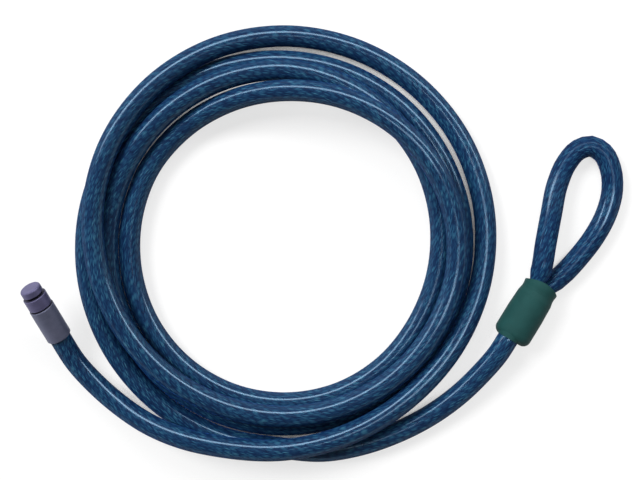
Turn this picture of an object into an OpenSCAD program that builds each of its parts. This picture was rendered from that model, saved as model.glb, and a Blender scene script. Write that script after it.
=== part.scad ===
// Coiled security cable: a jacketed wire rope with a crimped eye at one end
// and a swivelling locking stud at the other. Millimetres, +Z up, floor at Z = 0.

/* [Cable] */
// Outer diameter of the plastic jacket
jacket_d = 10; // [9:0.1:10]
// Diameter of the wire rope inside the jacket
rope_d = 6; // [4.5:0.1:6.4]
// Diameter of the rope's straight core strand
core_d = 2; // [1.2:0.1:2.4]
// Gap between each layer of the cable
layer_gap = 0.05; // [0.02:0.01:0.1]

/* [Plug barrel] */
// Outer diameter of the swaged barrel
barrel_d = 11.8; // [11.2:0.1:13]
// Length of the barrel
barrel_l = 18; // [17:0.5:24]
// Depth of the skirt that grips the jacket
skirt_depth = 3; // [2:0.5:4]
// Clearance round the jacket in the skirt, on the radius
skirt_clearance = 0.05; // [0.02:0.01:0.1]
// Length of rope swaged into the barrel
swage_l = 8; // [6:0.5:9]
// Width of the chamfers on the barrel's outer edges
barrel_chamfer = 0.5; // [0.2:0.1:0.8]

/* [Swivel] */
// Thickness of the wall between the rope and the swivel chamber
chamber_wall = 1; // [0.6:0.1:1.5]
// Diameter of the swivel chamber
chamber_d = 8.4; // [7.6:0.1:8.8]
// Clearance round the stud's retaining flange in the chamber, on the radius
flange_clearance = 0.2; // [0.1:0.05:0.3]
// Thickness of the retaining flange
flange_t = 1.6; // [1:0.1:2]
// Diameter of the stud's shank
shank_d = 5; // [4:0.1:6]
// Clearance round the shank in its bush, on the radius
swivel_clearance = 0.05; // [0.02:0.01:0.1]
// End play of the stud, and the fine gap that shows between collar and barrel
swivel_play = 0.3; // [0.2:0.05:0.5]

/* [Locking stud] */
// Diameter of the collar that the lock body closes round
collar_d = 11.2; // [10:0.1:11.6]
// Length of the collar
collar_l = 6.2; // [4:0.1:8]
// Diameter at the bottom of the locking groove
groove_d = 7.4; // [6:0.1:8.4]
// Width of the locking groove
groove_w = 1.2; // [0.8:0.1:2]
// Diameter of the stud's head
head_d = 9.9; // [9:0.1:10.6]
// Length of the head
head_l = 3.2; // [2.4:0.1:5]
// Radius of the rounding on the head's rim
head_round = 0.9; // [0.4:0.1:1.2]
// Width of the small chamfers on the collar
collar_chamfer = 0.3; // [0.1:0.1:0.6]

/* [Eye crimp] */
// Distance of the pressed ferrule from the cover's cable end
ferrule_start = 3.6; // [3:0.1:4]
// Length of the pressed ferrule
ferrule_l = 18.5; // [15:0.5:19]
// Web of the ferrule between the two ropes
ferrule_web = 0.2; // [0.1:0.05:0.4]
// Clearance round the rope in the ferrule, on the radius
crimp_clearance = 0.05; // [0.02:0.01:0.1]
// Width of the chamfers on the ferrule's ends
ferrule_chamfer = 1; // [0.4:0.1:1.6]

/* [Sleeve cover] */
// Length of the plastic cover
cover_l = 30.4; // [29:0.2:32]
// Diameter of the cover's body
cover_d = 17.9; // [17:0.1:19]
// Wall of the cover round the ferrule
cover_wall = 0.85; // [0.7:0.05:1.2]
// Clearance between the cover and what it holds
cover_clearance = 0.1; // [0.05:0.05:0.2]
// Length of the straight body, up to the start of its taper
body_l = 13.7; // [10:0.1:16]
// Step in from the body to the end of the taper, on the radius
taper_step = 0.35; // [0.2:0.05:0.5]
// Step in from the body to the waist, on the radius
waist_step = 0.85; // [0.6:0.05:1]
// Step in from the body to the lip at the eye end, on the radius
lip_step = 0.65; // [0.3:0.05:0.8]
// Length of the slope from the taper down to the waist
slope_in_l = 2.4; // [1.6:0.1:3]
// Length of the waist
waist_l = 1.4; // [0.6:0.1:2]
// Length of the slope from the waist up to the lip
slope_out_l = 1.6; // [1:0.1:2.4]
// Length of the lip
lip_l = 2.6; // [2:0.1:3.4]
// Radius of the arc that the lip is cut to, seen from above
lip_arc_r = 17; // [12:1:40]
// Radius of the dome at the cable end
dome_r = 3.6; // [2.4:0.2:4]
// Wall of the cuff round the cable where it goes in
cuff_wall = 0.5; // [0.4:0.1:0.7]
// Wall between the waist and the mouth that the two legs of the eye leave by
mouth_wall = 0.4; // [0.3:0.05:0.5]
// Clearance of the two legs in the mouth, on the radius
mouth_clearance = 0.04; // [0.02:0.01:0.1]
// Gap between the two legs in the mouth
leg_gap = 0.32; // [0.1:0.02:0.4]
// Wall of the jacket at its cut ends inside the cover
neck_wall = 0.3; // [0.2:0.05:0.4]

/* [Hidden] */
$fn = 48;
// How far a cut runs past the surface that it opens
overrun = 1;

// --- Cable route, chosen by hand -------------------------------------------
// The coil has four turns. Each pair is [radius, height] of the centreline, every 30 degrees,
// from the bottom of the coil (-Y) towards +X.
coil_centre = [-18.6, -0.5];
station_step = 30;
ring_step = 20;
turn_1 = [[94.2, 15.4], [90.8, 13.4], [91.1, 10], [93.1, 6.5], [95.2, 5], [96.5, 5],
          [97.4, 6.2], [96.4, 12], [93.2, 15.8], [88.2, 15.8], [83.4, 15.3], [80.2, 14.6]];
turn_2 = [[79, 14.4], [78.9, 14.6], [79, 15.2], [79.2, 15.8], [76.4, 20.8], [72.8, 22.6],
          [70.8, 18.6], [71.7, 8.4], [73.1, 5], [73, 5], [73.7, 5], [74.1, 5]];
turn_3 = [[73.8, 5], [73.1, 5], [71.7, 5], [72.2, 6.4], [74.3, 10.6], [77.2, 12.8],
          [80.8, 13.8], [81.8, 13], [82.7, 10.5], [83.1, 6.8], [84, 5], [84.3, 5]];
turn_4 = [[84, 5], [83.5, 5], [82.1, 5], [82.6, 5], [83, 5], [84.4, 5],
          [85.8, 5], [88.4, 5], [92, 5], [93.5, 5], [94.2, 5], [94.6, 5]];
turn_end = [[95.1, 5]];

// From the barrel to the coil, and from the coil to the crimp, about the same origin
plug_tail = [[-116.2, -55.4, 6.8], [-107.7, -65, 5.6], [-96.2, -74.8, 6.8], [-82.2, -83.4, 10.6],
             [-66.7, -89.4, 13.9], [-48.7, -93.2, 15.3]];
eye_tail = [[-1.7, -96.8, 5], [15.8, -94, 5], [32.8, -88.2, 5], [48.3, -80.3, 5.3],
            [61.3, -70.8, 6.8], [72.3, -59.9, 9], [80.3, -50.1, 11]];

// Foot of the plug on the cable, and where its axis points
plug_foot = [-123.3, -42.8, 11.4];
plug_heading = 116;
plug_tilt = 28;

// Foot of the crimp on the cable, where its axis points, and how far its pair of ropes
// stands up from flat: in the ferrule, at the jacket's cut ends and in the mouth
crimp_foot = [85.2, -44.3, 9];
crimp_heading = 58.5;
crimp_roll = 68;
neck_roll = 50;
mouth_roll = 32.5;

// Eye, from the upper leg outside the cover round to the lower leg
eye_points = [[99.3, -13.3, 11.8], [101.8, -0.2, 10.8], [104.7, 13.8, 8.8], [107.9, 27.8, 6.8],
              [112.7, 38.2, 5.4], [118.1, 44, 5], [123.9, 45.6, 5], [129.3, 42.6, 5],
              [132.9, 35.4, 5], [133.8, 25.3, 5], [131.3, 14.8, 5], [125.3, 3.3, 5],
              [117.7, -6.6, 5], [111.7, -13.2, 5], [106.7, -17.6, 5.5]];

// --- Derived sizes ------------------------------------------------------------
jacket_r = jacket_d / 2;
rope_r = rope_d / 2;
core_r = core_d / 2;
// Straight run past an edge before the cable bends
straight_run = 0.8;

// Along the plug, from its foot
rope_end_along = swage_l + skirt_depth;
chamber_start = rope_end_along + chamber_wall;
flange_start = chamber_start + swivel_play;
flange_end = flange_start + flange_t;
flange_d = chamber_d - 2 * flange_clearance;
bush_start = flange_end + swivel_play;
collar_start = barrel_l + swivel_play;
groove_start = collar_start + collar_l;
head_start = groove_start + groove_w;

// Along the crimp, from its foot
ferrule_end = ferrule_start + ferrule_l;
lip_start = cover_l - lip_l;
waist_end = lip_start - slope_out_l;
waist_start = waist_end - waist_l;
taper_end = waist_start - slope_in_l;

// Across the crimp
bore_r = rope_r + crimp_clearance;
leg_offset = bore_r + ferrule_web / 2;
pocket_d = cover_d - 2 * cover_wall;
ferrule_d = pocket_d - 2 * cover_clearance;
mouth_r = cover_d / 2 - waist_step - mouth_wall;
way_in_r = jacket_r + cover_clearance;
cuff_r = way_in_r + cuff_wall;

// The legs of the eye spread from the ferrule to the mouth, where the cover squeezes the
// jacket. Past the lip it swells to its full size.
mouth_inset = 0.3;
mouth_along = cover_l - mouth_inset;
neck_l = 3.7;
neck_along = mouth_along - neck_l;
neck_gap = 0.11;
neck_r = rope_r + layer_gap + neck_wall;
neck_offset = neck_r + neck_gap / 2;
mouth_offset = (mouth_r - mouth_clearance + leg_gap / 2) / 2;
squeezed_r = mouth_offset - leg_gap / 2;
swell = 0.1;

// --- Curves ---------------------------------------------------------------------
function unit(v) = v / norm(v);
// A point on the even curve through p, a share t of the way from p[i] to the next
function spline(p, i, t) =
    let (last = len(p) - 1, b = p[i], c = p[min(i + 1, last)],
         a = p[max(i - 1, 0)], d = p[min(i + 2, last)])
    0.5 * (2 * b + (c - a) * t + (2 * a - 5 * b + 4 * c - d) * t * t
           + (3 * b - a - 3 * c + d) * t * t * t);

// --- Frames of the plug and of the crimp ------------------------------------------
plug_axis = [cos(plug_tilt) * cos(plug_heading), cos(plug_tilt) * sin(plug_heading),
             sin(plug_tilt)];
function on_plug(along) = plug_foot + along * plug_axis;

crimp_axis = [cos(crimp_heading), sin(crimp_heading), 0];
crimp_left = [-sin(crimp_heading), cos(crimp_heading), 0];
// A point beside the crimp's axis, on a line that stands up from flat by roll
function on_crimp(along, across, roll) =
    crimp_foot + along * crimp_axis + across * (cos(roll) * crimp_left + [0, 0, sin(roll)]);

// --- Route of the cable ---------------------------------------------------------
stations = concat(turn_1, turn_2, turn_3, turn_4, turn_end);
coil_sweep = (len(stations) - 1) * station_step;
function coil_point(angle) =
    let (i = min(floor(angle / station_step), len(stations) - 2),
         s = spline(stations, i, angle / station_step - i))
    [coil_centre[0] + s[0] * sin(angle), coil_centre[1] - s[0] * cos(angle), max(s[1], jacket_r)];
coil_points = [for (angle = [0 : ring_step : coil_sweep]) coil_point(angle)];

// The jacket runs from the barrel's skirt to the ferrule
main_points = concat(
    [on_plug(skirt_depth), on_plug(-straight_run)], plug_tail, coil_points, eye_tail,
    [on_crimp(-straight_run, leg_offset, crimp_roll),
     on_crimp(ferrule_start, leg_offset, crimp_roll)]);

// Round the eye it is a jacket of its own, from one leg in the cover to the other
loop_points = concat(
    [on_crimp(neck_along, neck_offset, neck_roll),
     on_crimp(mouth_along, mouth_offset, mouth_roll)],
    eye_points,
    [on_crimp(mouth_along, -mouth_offset, mouth_roll),
     on_crimp(neck_along, -neck_offset, neck_roll)]);
loop_last = len(loop_points) - 1;
// Radius of the jacket at a point of the eye, counted from the nearer leg
function leg_radius(i) =
    i == 0 ? neck_r : i == 1 ? squeezed_r : i == 2 ? jacket_r - swell : jacket_r;
loop_radii = [for (i = [0 : loop_last]) leg_radius(min(i, loop_last - i))];

// The rope runs on from the barrel's swage to the ferrule, round the eye and back
rope_points = concat(
    [on_plug(rope_end_along)], main_points,
    [on_crimp(ferrule_end + straight_run, leg_offset, crimp_roll)], loop_points,
    [on_crimp(ferrule_end + straight_run, -leg_offset, crimp_roll),
     on_crimp(ferrule_start, -leg_offset, crimp_roll)]);

// --- Swept tube -------------------------------------------------------------------
cable_sides = 12;
function heading_at(p, i) = unit(p[min(i + 1, len(p) - 1)] - p[max(i - 1, 0)]);
function ring(p, i, r) =
    let (t = heading_at(p, i), side = unit(cross(t, [0, 0, 1])), up = cross(side, t))
    [for (k = [0 : cable_sides - 1])
        let (a = k * 360 / cable_sides)
        p[i] + r * (cos(a) * side + sin(a) * up)];
function rings(p, radii) = [for (i = [0 : len(p) - 1]) each ring(p, i, radii[i])];
function even(points, r) = [for (p = points) r];

// Faces between the rings from a first point on, seen from outside or from the bore
function skin(spans, start, inward) =
    [for (i = [0 : spans - 1], k = [0 : cable_sides - 1])
        let (a = start + i * cable_sides + k, b = start + i * cable_sides + (k + 1) % cable_sides,
             c = b + cable_sides, d = a + cable_sides)
        each inward ? [[a, d, c], [a, c, b]] : [[a, c, d], [a, b, c]]];
// Faces of the ring-shaped end at ring i, between the outer points and the bore's
function end_ring(i, inner, flip) =
    [for (k = [0 : cable_sides - 1])
        let (j = (k + 1) % cable_sides,
             a = i * cable_sides + k, b = i * cable_sides + j,
             c = inner + b, d = inner + a)
        each flip ? [[a, d, c], [a, c, b]] : [[a, b, c], [a, c, d]]];

// A tube along the points, with an outer radius for each and one bore
module tube(points, radii, bore) {
    last = len(points) - 1;
    inner = (last + 1) * cable_sides;
    polyhedron(
        concat(rings(points, radii), rings(points, even(points, bore))),
        concat(skin(last, 0, false), skin(last, inner, true),
               end_ring(0, inner, true), end_ring(last, inner, false)));
}

// A solid rod of radius r along the points
module rod(points, r) {
    last = len(points) - 1;
    polyhedron(
        rings(points, even(points, r)),
        concat(skin(last, 0, false),
               [[for (k = [cable_sides - 1 : -1 : 0]) k]],
               [[for (k = [0 : cable_sides - 1]) last * cable_sides + k]]));
}

// --- Cable ---------------------------------------------------------------------------
module core_strand() {
    color("silver") rod(rope_points, core_r);
}

module outer_strands() {
    color("lightsteelblue") tube(rope_points, even(rope_points, rope_r), core_r + layer_gap);
}

module coil_jacket() {
    color("#1d4f7a") tube(main_points, even(main_points, jacket_r), rope_r + layer_gap);
}

module eye_jacket() {
    color("#1d4f7a") tube(loop_points, loop_radii, rope_r + layer_gap);
}

// --- Turned shapes ---------------------------------------------------------------------
module chamfered(d, l, chamfer) {
    rotate_extrude() polygon([[0, 0], [d / 2 - chamfer, 0], [d / 2, chamfer],
                              [d / 2, l - chamfer], [d / 2 - chamfer, l], [0, l]]);
}

// --- Crimp -----------------------------------------------------------------------------
// Local frame: +Z along the crimp to the eye, +X from the lower leg to the upper leg
module in_crimp() {
    translate(crimp_foot) rotate([0, 90, crimp_heading]) rotate(90 + crimp_roll) children();
}

module crimp_ferrule() {
    color("gainsboro") in_crimp() translate([0, 0, ferrule_start]) difference() {
        chamfered(ferrule_d, ferrule_l, ferrule_chamfer);
        for (side = [-1, 1])
            translate([side * leg_offset, 0, -overrun])
                cylinder(r = bore_r, h = ferrule_l + 2 * overrun);
    }
}

// --- Sleeve cover --------------------------------------------------------------------------
dome_step = 15;
body_r = cover_d / 2;
dome = [for (a = [0 : dome_step : 90])
    [body_r - dome_r * (1 - sin(a)), dome_r * (1 - cos(a))]];
cover_profile = concat(
    [[0, 0]], dome,
    [[body_r, body_l], [body_r - taper_step, taper_end], [body_r - waist_step, waist_start],
     [body_r - waist_step, waist_end], [body_r - lip_step, lip_start],
     [body_r - lip_step, cover_l], [0, cover_l]]);

module cover_shell() {
    difference() {
        union() {
            rotate_extrude() polygon(cover_profile);
            translate([leg_offset, 0, 0]) cylinder(r = cuff_r, h = ferrule_start);
        }
        // pocket of the ferrule
        translate([0, 0, ferrule_start - cover_clearance])
            chamfered(pocket_d, ferrule_l + 2 * cover_clearance, ferrule_chamfer);
        // way in of the jacketed cable
        translate([leg_offset, 0, -overrun]) cylinder(r = way_in_r, h = ferrule_start + overrun);
        // mouth that the two legs of the eye leave by
        translate([0, 0, ferrule_end]) cylinder(r = mouth_r, h = cover_l);
    }
}

// What lies beyond the arc of the lip, seen from above, with its centre at the origin
module beyond_lip() {
    difference() {
        translate([0, -cover_d, -overrun]) cube([2 * lip_arc_r, 2 * cover_d, 2 * cover_d]);
        translate([0, 0, -2 * overrun]) cylinder(r = lip_arc_r, h = 2 * cover_d + 2 * overrun);
    }
}

module sleeve_cover() {
    color("#1f4f4a") difference() {
        in_crimp() cover_shell();
        translate([crimp_foot[0], crimp_foot[1], 0]) rotate(crimp_heading)
            translate([cover_l - lip_arc_r, 0, 0]) beyond_lip();
    }
}

// --- Plug -------------------------------------------------------------------------------------
// Local frame: +Z along the plug to its tip, origin where the cable enters
module in_plug() {
    translate(plug_foot) rotate([0, 90 - plug_tilt, plug_heading]) children();
}

module plug_barrel() {
    color("#5c5c78") in_plug() difference() {
        chamfered(barrel_d, barrel_l, barrel_chamfer);
        translate([0, 0, -overrun])
            cylinder(d = jacket_d + 2 * skirt_clearance, h = skirt_depth + overrun);
        cylinder(d = rope_d + 2 * skirt_clearance, h = rope_end_along);
        translate([0, 0, chamber_start]) cylinder(d = chamber_d, h = barrel_l);
    }
}

module swivel_bush() {
    color("darkkhaki") in_plug() translate([0, 0, bush_start]) difference() {
        cylinder(d = chamber_d, h = barrel_l - bush_start);
        translate([0, 0, -overrun]) cylinder(d = shank_d + 2 * swivel_clearance, h = barrel_l);
    }
}

rim_step = 18;
head_rim = [for (a = [0 : rim_step : 90])
    [head_d / 2 - head_round * (1 - cos(a)), head_start + head_l - head_round * (1 - sin(a))]];
stud_profile = concat(
    [[0, flange_start], [flange_d / 2, flange_start], [flange_d / 2, flange_end],
     [shank_d / 2, flange_end], [shank_d / 2, collar_start],
     [collar_d / 2 - collar_chamfer, collar_start],
     [collar_d / 2, collar_start + collar_chamfer],
     [collar_d / 2, groove_start - collar_chamfer],
     [collar_d / 2 - collar_chamfer, groove_start],
     [groove_d / 2, groove_start], [groove_d / 2, head_start], [head_d / 2, head_start]],
    head_rim, [[0, head_start + head_l]]);

module locking_stud() {
    color("#6c6c8c") in_plug() rotate_extrude() polygon(stud_profile);
}

core_strand();
outer_strands();
coil_jacket();
eye_jacket();
crimp_ferrule();
sleeve_cover();
plug_barrel();
swivel_bush();
locking_stud();
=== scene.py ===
"""Looks of the coiled security cable: jacketed wire rope, crimped eye and swivelling stud."""

import math

import bpy
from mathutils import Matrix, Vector


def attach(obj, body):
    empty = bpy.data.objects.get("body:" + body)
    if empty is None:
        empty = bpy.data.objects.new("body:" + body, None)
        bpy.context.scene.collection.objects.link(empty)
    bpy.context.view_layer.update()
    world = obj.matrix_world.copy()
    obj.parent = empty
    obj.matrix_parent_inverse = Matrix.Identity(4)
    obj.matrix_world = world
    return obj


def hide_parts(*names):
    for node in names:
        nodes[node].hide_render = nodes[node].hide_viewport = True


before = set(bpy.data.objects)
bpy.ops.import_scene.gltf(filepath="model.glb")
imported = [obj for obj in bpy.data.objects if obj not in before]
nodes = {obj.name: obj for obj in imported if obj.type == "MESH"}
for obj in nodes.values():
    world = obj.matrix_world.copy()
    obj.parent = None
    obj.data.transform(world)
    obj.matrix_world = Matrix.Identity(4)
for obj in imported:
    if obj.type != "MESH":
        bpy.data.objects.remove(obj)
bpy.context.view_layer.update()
MM = 0.001

# ---- Camera: straight down over the coil -------------------------------------------------------

SENSOR = 36.0
VIEW_PLACE = (-2.7 * MM, 1.8 * MM, 700 * MM)
FOCUS_PIXELS = 1488.2
IMAGE_WIDTH = 640

lens = bpy.data.cameras.new("camera")
lens.sensor_width = SENSOR
lens.lens = SENSOR * FOCUS_PIXELS / IMAGE_WIDTH
lens.clip_start = 0.01
lens.clip_end = 40
camera = bpy.data.objects.new("camera", lens)
camera.location = VIEW_PLACE
bpy.context.scene.collection.objects.link(camera)
bpy.context.scene.camera = camera

# ---- Route of the cable, as the source has it, in millimetres ----------------------------------

JACKET_R = 5.0

# The coil goes round its centre with a station every 30 degrees, which gives the radius and the
# height of the cable's axis there, and is cut into points every 20 degrees
COIL_CENTRE = (-18.6, -0.5)
STATION_STEP, RING_STEP = 30, 20
STATIONS = [
    (94.2, 15.4), (90.8, 13.4), (91.1, 10), (93.1, 6.5), (95.2, 5), (96.5, 5),
    (97.4, 6.2), (96.4, 12), (93.2, 15.8), (88.2, 15.8), (83.4, 15.3), (80.2, 14.6),
    (79, 14.4), (78.9, 14.6), (79, 15.2), (79.2, 15.8), (76.4, 20.8), (72.8, 22.6),
    (70.8, 18.6), (71.7, 8.4), (73.1, 5), (73, 5), (73.7, 5), (74.1, 5),
    (73.8, 5), (73.1, 5), (71.7, 5), (72.2, 6.4), (74.3, 10.6), (77.2, 12.8),
    (80.8, 13.8), (81.8, 13), (82.7, 10.5), (83.1, 6.8), (84, 5), (84.3, 5),
    (84, 5), (83.5, 5), (82.1, 5), (82.6, 5), (83, 5), (84.4, 5),
    (85.8, 5), (88.4, 5), (92, 5), (93.5, 5), (94.2, 5), (94.6, 5), (95.1, 5),
]

# Points of the axis from the plug to the coil, from the coil to the crimp, and round the eye
PLUG_TAIL = [
    (-116.2, -55.4, 6.8), (-107.7, -65, 5.6), (-96.2, -74.8, 6.8), (-82.2, -83.4, 10.6),
    (-66.7, -89.4, 13.9), (-48.7, -93.2, 15.3),
]
EYE_TAIL = [
    (-1.7, -96.8, 5), (15.8, -94, 5), (32.8, -88.2, 5), (48.3, -80.3, 5.3), (61.3, -70.8, 6.8),
    (72.3, -59.9, 9), (80.3, -50.1, 11),
]
EYE = [
    (99.3, -13.3, 11.8), (101.8, -0.2, 10.8), (104.7, 13.8, 8.8), (107.9, 27.8, 6.8),
    (112.7, 38.2, 5.4), (118.1, 44, 5), (123.9, 45.6, 5), (129.3, 42.6, 5), (132.9, 35.4, 5),
    (133.8, 25.3, 5), (131.3, 14.8, 5), (125.3, 3.3, 5), (117.7, -6.6, 5), (111.7, -13.2, 5),
    (106.7, -17.6, 5.5),
]

# The barrel's skirt and the ferrule that the long cable goes into, and its straight run to each
PLUG_FOOT = Vector((-123.3, -42.8, 11.4))
PLUG_HEADING, PLUG_TILT = math.radians(116), math.radians(28)
SKIRT_DEPTH = 3
CRIMP_FOOT = Vector((85.2, -44.3, 9))
CRIMP_HEADING, CRIMP_ROLL = math.radians(58.5), math.radians(68)
LEG_OFFSET = 3.15
FERRULE_START = 3.6
STRAIGHT_RUN = 0.8

# Where the first leg of the eye lies in the cover: along the crimp, left of it and above it.
# The other leg lies as far to the right and below. The jacket's radii go from the neck outwards.
LEG_IN_NECK = (26.4, 2.2, 2.6)
LEG_IN_MOUTH = (30.1, 3.3, 2.1)
LEG_RADII = [3.35, 3.75, 4.9]

plug_axis = Vector((
    math.cos(PLUG_TILT) * math.cos(PLUG_HEADING),
    math.cos(PLUG_TILT) * math.sin(PLUG_HEADING),
    math.sin(PLUG_TILT),
))
crimp_axis = Vector((math.cos(CRIMP_HEADING), math.sin(CRIMP_HEADING), 0))
crimp_left = Vector((-math.sin(CRIMP_HEADING), math.cos(CRIMP_HEADING), 0))
crimp_pair = crimp_left * math.cos(CRIMP_ROLL) + Vector((0, 0, math.sin(CRIMP_ROLL)))


def on_plug(along):
    return PLUG_FOOT + plug_axis * along


def on_crimp(along, across):
    return CRIMP_FOOT + crimp_axis * along + crimp_pair * across


def on_leg(place, side):
    """A point of the eye's first leg in the cover, or with side -1 of the other."""
    along, left, up = place
    return CRIMP_FOOT + crimp_axis * along + crimp_left * left * side + Vector((0, 0, up * side))


def through(a, b, c, d, t):
    """A point between b and c on the even curve through four points."""
    return 0.5 * (
        2 * b + (c - a) * t + (2 * a - 5 * b + 4 * c - d) * t * t
        + (3 * b - a - 3 * c + d) * t * t * t)


def coil_point(angle):
    last = len(STATIONS) - 1
    i = min(int(angle // STATION_STEP), last - 1)
    near = [STATIONS[min(max(k, 0), last)] for k in (i - 1, i, i + 1, i + 2)]
    t = angle / STATION_STEP - i
    radius, height = (through(*[s[k] for s in near], t) for k in (0, 1))
    turn = math.radians(angle)
    return Vector((
        COIL_CENTRE[0] + radius * math.sin(turn),
        COIL_CENTRE[1] - radius * math.cos(turn),
        max(height, JACKET_R),
    ))


def flowing(points, step):
    """The smooth line through uneven points, cut about every step. Each of its points comes with
    its place in the list of points, such as 2.5 for halfway from the third to the fourth."""
    line = []
    for i in range(len(points) - 1):
        a, b, c, d = (points[min(max(k, 0), len(points) - 1)] for k in (i - 1, i, i + 1, i + 2))
        ab, bc, cd = ((q - p).length or (c - b).length for p, q in ((a, b), (b, c), (c, d)))
        straight = (c - b) / bc
        leave = (b - a) / ab - (c - a) / (ab + bc) + straight if i else straight
        meet = straight - (d - b) / (bc + cd) + (d - c) / cd if i < len(points) - 2 else straight
        cuts = max(1, round(bc / step))
        for k in range(cuts):
            t = k / cuts
            line.append((
                b * (2 * t**3 - 3 * t**2 + 1) + leave * bc * (t**3 - 2 * t**2 + t)
                + c * (3 * t**2 - 2 * t**3) + meet * bc * (t**3 - t**2),
                i + t,
            ))
    line.append((points[-1].copy(), len(points) - 1))
    return line


coil = [coil_point(a) for a in range(0, (len(STATIONS) - 1) * STATION_STEP + 1, RING_STEP)]
main_route = (
    [on_plug(SKIRT_DEPTH), on_plug(-STRAIGHT_RUN)]
    + [Vector(p) for p in PLUG_TAIL] + coil + [Vector(p) for p in EYE_TAIL]
    + [on_crimp(-STRAIGHT_RUN, LEG_OFFSET), on_crimp(FERRULE_START, LEG_OFFSET)]
)
eye_route = (
    [on_leg(LEG_IN_NECK, 1), on_leg(LEG_IN_MOUTH, 1)]
    + [Vector(p) for p in EYE]
    + [on_leg(LEG_IN_MOUTH, -1), on_leg(LEG_IN_NECK, -1)]
)
eye_radii = LEG_RADII + [JACKET_R] * (len(EYE) - 2) + LEG_RADII[::-1]

# ---- Jackets: smooth round tubes along the route -----------------------------------------------

SIDES = 32
RING_GAP = 3.0
MAIN_STRIPS, LOOP_STRIPS = 9, 2

# Shares of a strip left clear at each end and along each edge, and where the end faces go
END_CLEAR, EDGE_CLEAR = 0.004, 0.03
CAP_CORNER = (0.001, 0.001)


def tube(name, route, radii, strips):
    """A closed tube of the jacket. Its map "cable" has metres along it and turns round it, with the
    seam underneath; its other map is the same skin cut in strips that fill a square."""
    line = flowing(route, RING_GAP)
    centres = [p for p, _ in line]
    verts, along = [], [0.0]
    for i, (p, share) in enumerate(line):
        heading = (centres[min(i + 1, len(line) - 1)] - centres[max(i - 1, 0)]).normalized()
        side = heading.cross(Vector((0, 0, 1))).normalized()
        up = side.cross(heading)
        low = min(int(share), len(radii) - 2)
        r = radii[low] + (radii[low + 1] - radii[low]) * (share - low)
        p.z = max(p.z, r)
        for k in range(SIDES):
            a = 2 * math.pi * k / SIDES
            verts.append((p + (side * math.sin(a) - up * math.cos(a)) * r) * MM)
        if i:
            along.append(along[-1] + (p - centres[i - 1]).length * MM)
    faces, cable, strip = [], [], []
    rows = len(line) - 1
    for i in range(rows):
        row = min(i * strips // rows, strips - 1)
        first, last = math.ceil(row * rows / strips), math.ceil((row + 1) * rows / strips)
        strip_length = along[last] - along[first]
        for k in range(SIDES):
            j = (k + 1) % SIDES
            faces.append((i * SIDES + k, (i + 1) * SIDES + k, (i + 1) * SIDES + j, i * SIDES + j))
            for ring, turn in ((i, k), (i + 1, k), (i + 1, k + 1), (i, k + 1)):
                cable.append((along[ring], turn / SIDES))
                strip.append((
                    END_CLEAR + (1 - 2 * END_CLEAR) * (along[ring] - along[first]) / strip_length,
                    (row + EDGE_CLEAR + (1 - 2 * EDGE_CLEAR) * turn / SIDES) / strips,
                ))
    for ring, turned in ((0, False), (len(line) - 1, True)):
        loop = [ring * SIDES + k for k in range(SIDES)]
        faces.append(tuple(reversed(loop)) if turned else tuple(loop))
        cable += [(along[ring], 0.0)] * SIDES
        strip += [CAP_CORNER] * SIDES
    mesh = bpy.data.meshes.new(name)
    mesh.from_pydata(verts, [], faces)
    for layer, values in (("cable", cable), ("OFBake", strip)):
        uv = mesh.uv_layers.new(name=layer)
        uv.data.foreach_set("uv", [x for pair in values for x in pair])
    mesh.uv_layers["OFBake"].active_render = True
    mesh.validate()
    mesh.polygons.foreach_set("use_smooth", [len(f) == 4 for f in faces])
    piece = bpy.data.objects.new(name, mesh)
    bpy.context.scene.collection.objects.link(piece)
    return piece, [p * MM for p in centres], along[-1]


main_jacket, main_path, main_length = tube(
    "main_jacket", main_route, [JACKET_R] * len(main_route), MAIN_STRIPS)
loop_jacket, loop_path, loop_length = tube("loop_jacket", eye_route, eye_radii, LOOP_STRIPS)
for piece, node in ((main_jacket, "coil_jacket"), (loop_jacket, "eye_jacket")):
    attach(piece, "cable")
    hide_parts(node)

# ---- Shader sheets -----------------------------------------------------------------------------


def paint(red, green, blue):
    """A colour from screen values of 0 to 255."""
    def straight(v):
        v /= 255
        return v / 12.92 if v <= 0.04045 else ((v + 0.055) / 1.055) ** 2.4
    return (straight(red), straight(green), straight(blue), 1)


class Value:
    """A socket's number. Sums and products of Values put Math nodes on their sheet."""

    def __init__(self, sheet, socket):
        self.sheet, self.socket = sheet, socket

    def maths(self, operation, *inputs):
        return self.sheet.node("ShaderNodeMath", {"operation": operation}, list(inputs))

    def __add__(self, other):
        return self.maths("ADD", self, other)

    def __sub__(self, other):
        return self.maths("SUBTRACT", self, other)

    def __rsub__(self, other):
        return self.maths("SUBTRACT", other, self)

    def __mul__(self, other):
        return self.maths("MULTIPLY", self, other)

    def __truediv__(self, other):
        return self.maths("DIVIDE", self, other)

    def __pow__(self, other):
        return self.maths("POWER", self, other)

    __radd__, __rmul__ = __add__, __mul__

    def floor(self):
        return self.maths("FLOOR", self)

    def fraction(self):
        return self.maths("FRACT", self)

    def sine(self):
        return self.maths("SINE", self)

    def size(self):
        return self.maths("ABSOLUTE", self)

    def most(self, other):
        return self.maths("MAXIMUM", self, other)


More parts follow.
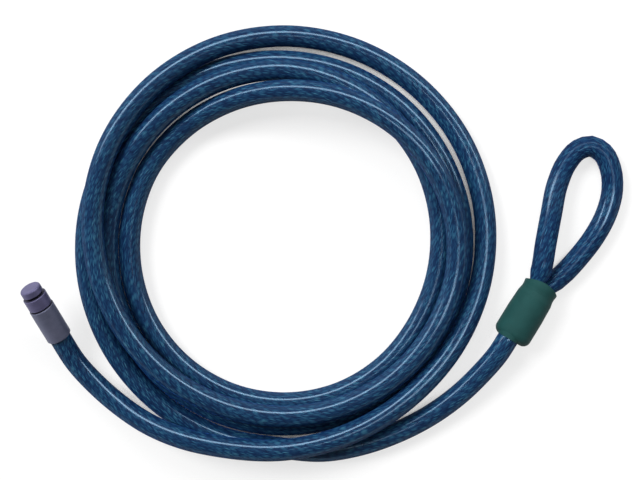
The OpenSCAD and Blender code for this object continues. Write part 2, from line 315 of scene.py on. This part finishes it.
class Sheet:
    """The nodes of one material, or of the world."""

    def __init__(self, owner):
        owner.use_nodes = True
        self.owner = owner
        self.tree = owner.node_tree
        self.tree.nodes.clear()

    def node(self, kind, settings=None, inputs=None, output=0):
        """Puts down a node with its settings and its sockets' values or links, given in their
        order or by name, and returns one of its outputs."""
        made = self.tree.nodes.new(kind)
        for name, value in (settings or {}).items():
            if name == "stops":
                ramp = made.color_ramp.elements
                while len(ramp) < len(value):
                    ramp.new(1)
                for stop, (place, colour) in zip(ramp, value):
                    stop.position, stop.color = place, colour
            else:
                setattr(made, name, value)
        sockets = inputs.items() if isinstance(inputs, dict) else enumerate(inputs or [])
        for name, value in sockets:
            if isinstance(value, Value):
                self.tree.links.new(value.socket, made.inputs[name])
            else:
                made.inputs[name].default_value = value
        return Value(self, made.outputs[output]) if made.outputs else None

    def part(self, vector, axis):
        return self.node("ShaderNodeSeparateXYZ", None, [vector], axis)

    def place(self):
        return self.node("ShaderNodeTexCoord", None, None, "Object")

    def vector(self, x, y, z):
        return self.node("ShaderNodeCombineXYZ", None, [x, y, z])

    def blend(self, factor, low, high):
        return self.node("ShaderNodeMix", {"data_type": "RGBA"}, {0: factor, 6: low, 7: high}, 2)

    def ramp(self, factor, stops):
        return self.node("ShaderNodeValToRGB", {"stops": stops}, [factor])

    def span(self, value, low, high, to_low=0.0, to_high=1.0):
        return self.node("ShaderNodeMapRange", None, [value, low, high, to_low, to_high])

    def noise(self, vector, scale, detail, roughness=0.5):
        return self.node(
            "ShaderNodeTexNoise", None,
            {"Vector": vector, "Scale": scale, "Detail": detail, "Roughness": roughness})

    def bump(self, height, distance, strength):
        return self.node(
            "ShaderNodeBump", None, {"Height": height, "Distance": distance, "Strength": strength})

    def shader(self, **sockets):
        return self.node(
            "ShaderNodeBsdfPrincipled", None,
            {name.replace("_", " "): value for name, value in sockets.items()})

    def finish(self, shader):
        self.node("ShaderNodeOutputMaterial", None, {"Surface": shader})
        return self.owner

    def surface(self, **sockets):
        return self.finish(self.shader(**sockets))

    def seen(self):
        """1 for what the camera sees, straight, in a reflection or through glass, 0 for light."""
        camera_ray, glossy, clear = (
            self.node("ShaderNodeLightPath", None, None, kind)
            for kind in ("Is Camera Ray", "Is Glossy Ray", "Is Transmission Ray"))
        return camera_ray.most(glossy).most(clear)


def new_sheet(name):
    return Sheet(bpy.data.materials.new(name))


def wear(piece, material):
    piece.data.materials.clear()
    piece.data.materials.append(material)


# ---- Blue jacket over the wire rope ------------------------------------------------------------

# Strands and wires round the rope, and the metres in which each goes round it once
STRANDS, STRAND_LAY = 6, 0.040
WIRES, WIRE_LAY = 58, 0.16

# A wire shows in dashes: metres to a dash, dashes that a turn round the rope moves on by, and how
# much of a dash each wire's own are shifted by at random
DASH, DASH_TURNS = 0.0036, 2
DASH_SHIFT = 0.8

# Each dash is a wire, lighter than the gaps, with a painted glint of random strength on its
# crown: how fast a dash fades to its sides and to its ends, and how bright the faintest one is
SIDE_FADE, END_FADE = 1.1, 0.6
FAINTEST = 0.1

# What each layer adds to the tone, and noise cells to a metre along and to a turn round. The
# strand layer is painted shade: each strand lighter on its crown and darker in the valleys.
FLECK_AND_GLINT_TONE, STRAND_SHADE_TONE, DRIFT_TONE, GRAIN_TONE = 0.62, 0.1, 0.26, 0.3
GRAIN_ALONG, GRAIN_ROUND = 420, 95
# The eye's jacket is the same jacket, its copy painted darker as shade by a larger deep
JACKET_DEEP, EYE_SHADE_DEEP = 0.13, 0.17

GLOSS, EYE_GLOSS = 0.1, 0.014
GLOSS_FALL = 2.5

# The rubbed band across the eye's legs: the y of its middle where x is 0, its fall in y for each
# x, and the distance from the middle to where full shine ends and to where the band does
RUB_LEVEL, RUB_FALL = 54 * MM, 0.29
RUB_FULL, RUB_END = 5 * MM, 12 * MM


def blue_jacket(name, shine, polish=None, deep=JACKET_DEEP):
    """Tinted jacket over six strands. Each fleck is the crown of one wire, lighter than the gaps
    and with a painted glint; the strands carry painted shade, lighter on their crowns and darker in
    the valleys. Deep darkens them all, and the eye's larger deep is painted shade. Where polish is
    given, the rubbed band has that shine in place of the piece's own."""
    s = new_sheet(name)
    skin = s.node("ShaderNodeUVMap", {"uv_map": "cable"})
    along, turn = s.part(skin, 0), s.part(skin, 1)
    strand = (turn + along / STRAND_LAY) * STRANDS
    wire = (turn + along / WIRE_LAY) * WIRES
    dash = turn * DASH_TURNS + along / DASH
    # Painted shade: strands lighter on their crowns and darker in the valleys between them
    crown = (strand.fraction() * math.pi).sine()
    ridge = (wire.fraction() * math.pi).sine()
    lane = s.node("ShaderNodeTexWhiteNoise", {"noise_dimensions": "1D"}, {"W": wire.floor()})
    step = dash + lane * DASH_SHIFT
    cell = s.vector(wire.floor(), step.floor(), 0.5)
    # Painted glint: a random brightness for each dash of a wire
    glint = s.node("ShaderNodeTexWhiteNoise", {"noise_dimensions": "3D"}, {"Vector": cell})
    length = (step.fraction() * math.pi).sine()
    drift = s.noise(s.place(), 140, 2, 0.6)
    grain = s.noise(s.vector(along * GRAIN_ALONG, turn * GRAIN_ROUND, 0.0), 1, 1)
    # Wire dashes lighter than the gaps, with a painted glint brightest on each wire's crown
    fleck = (ridge ** SIDE_FADE) * (length ** END_FADE) * (glint * (1 - FAINTEST) + FAINTEST)
    tone = (
        fleck * FLECK_AND_GLINT_TONE + crown * STRAND_SHADE_TONE + drift * DRIFT_TONE + grain * GRAIN_TONE - deep)
    colour = s.ramp(tone, [
        (0.0, paint(8, 16, 44)), (0.3, paint(14, 40, 74)), (0.5, paint(26, 64, 96)),
        (0.7, paint(42, 90, 118)), (1.0, paint(84, 138, 152)),
    ])
    height = crown * 0.3 + ridge * length * 0.7
    body = s.shader(
        Base_Color=colour, Roughness=0.6, Specular_IOR_Level=0.05,
        Normal=s.bump(height, 0.25 * MM, 0.5),
        Sheen_Weight=0.35, Sheen_Roughness=0.3, Sheen_Tint=paint(36, 76, 180),
    )
    gloss = s.shader(Base_Color=paint(184, 222, 252), Metallic=1.0, Roughness=0.17)
    facing = s.node("ShaderNodeLayerWeight", None, {"Blend": 0.5}, "Facing")
    if polish:
        level = s.part(s.place(), 1) + s.part(s.place(), 0) * RUB_FALL
        shine = s.span((level - RUB_LEVEL).size(), RUB_FULL, RUB_END, polish, shine)
    glint_on_top = (1 - facing) ** GLOSS_FALL * shine
    return s.finish(s.node("ShaderNodeMixShader", None, [glint_on_top, body, gloss]))


wear(main_jacket, blue_jacket("blue_jacket", GLOSS))
# The eye's copy of the jacket is painted darker as shade
wear(loop_jacket, blue_jacket("blue_jacket_eye", EYE_GLOSS, GLOSS, EYE_SHADE_DEEP))

# ---- Metals and plastics -----------------------------------------------------------------------

# Dark rings round the plug: middle along its axis and half the width, in millimetres. The
# barrel's is a dark joint line at its mouth; the stud's is painted shade in the groove under its
# head
MOUTH_LINE = (18, 0.15)
LOCK_GROOVE_SHADE = (25.1, 0.55)
RING_FADE = 0.2 * MM


def along_axis(s, foot, axis):
    """Metres along a turned piece's axis, and metres out from it."""
    def vector_maths(operation, *inputs, output=0):
        return s.node("ShaderNodeVectorMath", {"operation": operation}, list(inputs), output)
    from_foot = vector_maths("SUBTRACT", s.place(), tuple(foot * MM))
    along = vector_maths("DOT_PRODUCT", from_foot, tuple(axis), output="Value")
    reach = vector_maths("LENGTH", from_foot, output="Value")
    return along, (reach * reach - along * along).most(0) ** 0.5


def turned_metal(name, low, high, roughness, joint_and_groove_shade):
    """Grey-violet plating, turned, with one dark ring round it: a joint line on the barrel, and
    painted shade in the groove on the stud.
    """
    s = new_sheet(name)
    along, out = along_axis(s, PLUG_FOOT, plug_axis)
    rings = s.noise(s.vector(along, out, 0.0), 2600, 2)
    cloud = s.noise(s.place(), 260, 3, 0.6)
    tone = rings * 0.3 + cloud * 0.7
    colour = s.blend(s.span(tone, 0.3, 0.7), low, high)
    middle, half = joint_and_groove_shade
    edge = half * MM
    # The dark ring: a joint line on the barrel, painted shade in the stud's groove
    ring = s.span((along - middle * MM).size(), edge, edge + RING_FADE, 1.0, 0.0)
    colour = s.blend(ring, colour, paint(34, 34, 46))
    return s.surface(
        Base_Color=colour, Metallic=0.5,
        Roughness=s.span(tone, 0.3, 0.7, roughness, roughness + 0.12), Specular_IOR_Level=0.2,
        Normal=s.bump(rings, 0.01 * MM, 0.2),
    )


def galvanised_wire():
    s = new_sheet("galvanised_wire")
    spangle = s.node("ShaderNodeTexVoronoi", None, {"Vector": s.place(), "Scale": 900}, "Distance")
    haze = s.noise(s.place(), 300, 3, 0.6)
    return s.surface(
        Base_Color=s.blend(haze, paint(150, 156, 164), paint(196, 202, 208)), Metallic=0.9,
        Roughness=s.span(spangle, 0.0, 0.8, 0.3, 0.5), Normal=s.bump(spangle, 0.03 * MM, 0.3),
    )


def pressed_aluminium():
    s = new_sheet("pressed_aluminium")
    drawn = s.noise(s.place(), 700, 4, 0.65)
    return s.surface(
        Base_Color=s.blend(drawn, paint(176, 178, 180), paint(214, 216, 218)), Metallic=0.95,
        Roughness=s.span(drawn, 0.3, 0.7, 0.28, 0.42), Normal=s.bump(drawn, 0.02 * MM, 0.3),
    )


def sintered_bronze():
    s = new_sheet("sintered_bronze")
    pores = s.noise(s.place(), 2400, 3, 0.6)
    return s.surface(
        Base_Color=s.blend(s.span(pores, 0.35, 0.6), paint(96, 74, 44), paint(170, 140, 92)),
        Metallic=0.9, Roughness=s.span(pores, 0.3, 0.7, 0.55, 0.4),
        Normal=s.bump(pores, 0.02 * MM, 0.4),
    )


def green_cover():
    s = new_sheet("green_cover")
    grain = s.noise(s.place(), 1500, 3, 0.6)
    cloud = s.noise(s.place(), 160, 2)
    return s.surface(
        Base_Color=s.blend(cloud * 0.7 + grain * 0.3, paint(18, 50, 49), paint(31, 73, 72)),
        Roughness=s.span(grain, 0.3, 0.7, 0.6, 0.74), Specular_IOR_Level=0.18,
        Normal=s.bump(grain, 0.03 * MM, 0.35),
    )


wire = galvanised_wire()
wear(nodes["core_strand"], wire)
wear(nodes["outer_strands"], wire)
wear(nodes["crimp_ferrule"], pressed_aluminium())
wear(nodes["swivel_bush"], sintered_bronze())
wear(nodes["plug_barrel"], turned_metal(
    "barrel_metal", paint(98, 102, 124), paint(114, 117, 140), 0.46, MOUTH_LINE))
# The stud's dark ring is painted shade in the groove under its head
wear(nodes["locking_stud"], turned_metal(
    "stud_metal", paint(92, 90, 122), paint(108, 105, 140), 0.42, LOCK_GROOVE_SHADE))
wear(nodes["sleeve_cover"], green_cover())

# ---- Floor, lamps and room ---------------------------------------------------------------------

# The floor's paint and its lift to white where it is seen, and its paint for bounced light
FLOOR_SEEN, FLOOR_LIFT = 0.26, 0.71
FLOOR_BOUNCE = 0.3

# Slits between turns are painted dark as shade: the floor's lift to white fades out where the
# floor is closed in. The reach within which the floor's openness is taken, and the openness at
# which the lift starts and at which it is full
SLIT_REACH = 14 * MM
SLIT_DARK, SLIT_OPEN = 0.13, 0.26

FLOOR_SIZE = 30

WINDOW_LIGHT, WINDOW_ANGLE = 2.9, 25
WINDOW_HEADING = (0.8, -0.5, -1)
STRIP_WATTS = 22
SIDE_WATTS, OUTER_WATTS = 0.014, 0.018
NARROW_SPREAD = 26
ROOM_LIGHT = 0.15

# Height of a direction and how bright the room is seen there, from the horizon to overhead
ROOM_STOPS = [(0.0, 1.0), (0.13, 0.9), (0.3, 0.1), (1.0, 0.05)]


def grey(value):
    return (value, value, value, 1)


def floor_paint():
    s = new_sheet("floor_paint")
    seen = s.seen()
    # Painted shade: the lift to white fades out in slits that the turns close in
    open_sky = s.node(
        "ShaderNodeAmbientOcclusion", {"samples": 8}, {"Distance": SLIT_REACH}, "AO")
    lift = s.span(open_sky, SLIT_DARK, SLIT_OPEN, 0.0, FLOOR_LIFT)
    return s.surface(
        Base_Color=s.blend(seen, grey(FLOOR_BOUNCE), grey(FLOOR_SEEN)),
        Roughness=0.9, Specular_IOR_Level=0.0,
        Emission_Color=grey(1), Emission_Strength=seen * lift,
    )


bpy.ops.object.select_all(action="DESELECT")
bpy.ops.mesh.primitive_plane_add(size=FLOOR_SIZE, location=(0, 0, 0))
floor = bpy.context.object
floor.name = "floor"
wear(floor, floor_paint())


def lamp(name, place, aim, size, watts, spread=180):
    light = bpy.data.lights.new(name, "AREA")
    light.shape = "RECTANGLE"
    light.size, light.size_y = size
    light.energy = watts
    light.spread = math.radians(spread)
    holder = bpy.data.objects.new(name, light)
    holder.location = place
    aim_line = Vector(aim) - Vector(place)
    holder.rotation_euler = aim_line.to_track_quat("-Z", "Y").to_euler()
    bpy.context.scene.collection.objects.link(holder)


sun = bpy.data.lights.new("window", "SUN")
sun.energy = WINDOW_LIGHT
sun.angle = math.radians(WINDOW_ANGLE)
window = bpy.data.objects.new("window", sun)
window.rotation_euler = Vector(WINDOW_HEADING).to_track_quat("-Z", "Y").to_euler()
window.visible_glossy = False
bpy.context.scene.collection.objects.link(window)
lamp("strip_lamp", place=(0.1, 0.75, 0.85), aim=(0.1, 0, 0), size=(4.0, 0.28), watts=STRIP_WATTS)
lamp(
    "side_lamp", place=(0.12, -0.005, 0.85), aim=(0.16, -0.005, 0), size=(0.16, 0.18),
    watts=SIDE_WATTS, spread=NARROW_SPREAD)
lamp(
    "outer_lamp", place=(0.28, -0.005, 0.82), aim=(0.14, -0.005, 0), size=(0.2, 0.18),
    watts=OUTER_WATTS, spread=NARROW_SPREAD)


def room_sky():
    """An even dim light, though what is seen and reflected is pale and darkens overhead."""
    room = bpy.data.worlds.new("room")
    s = Sheet(room)
    direction = s.node("ShaderNodeTexCoord", None, None, "Generated")
    shade = s.ramp(s.part(direction, 2), [(height, grey(tone)) for height, tone in ROOM_STOPS])
    colour = s.blend(s.seen(), grey(ROOM_LIGHT), shade)
    sky = s.node("ShaderNodeBackground", None, [colour, 1.0])
    s.node("ShaderNodeOutputWorld", None, {"Surface": sky})
    return room


bpy.context.scene.world = room_sky()
bpy.context.scene.view_settings.view_transform = "Standard"
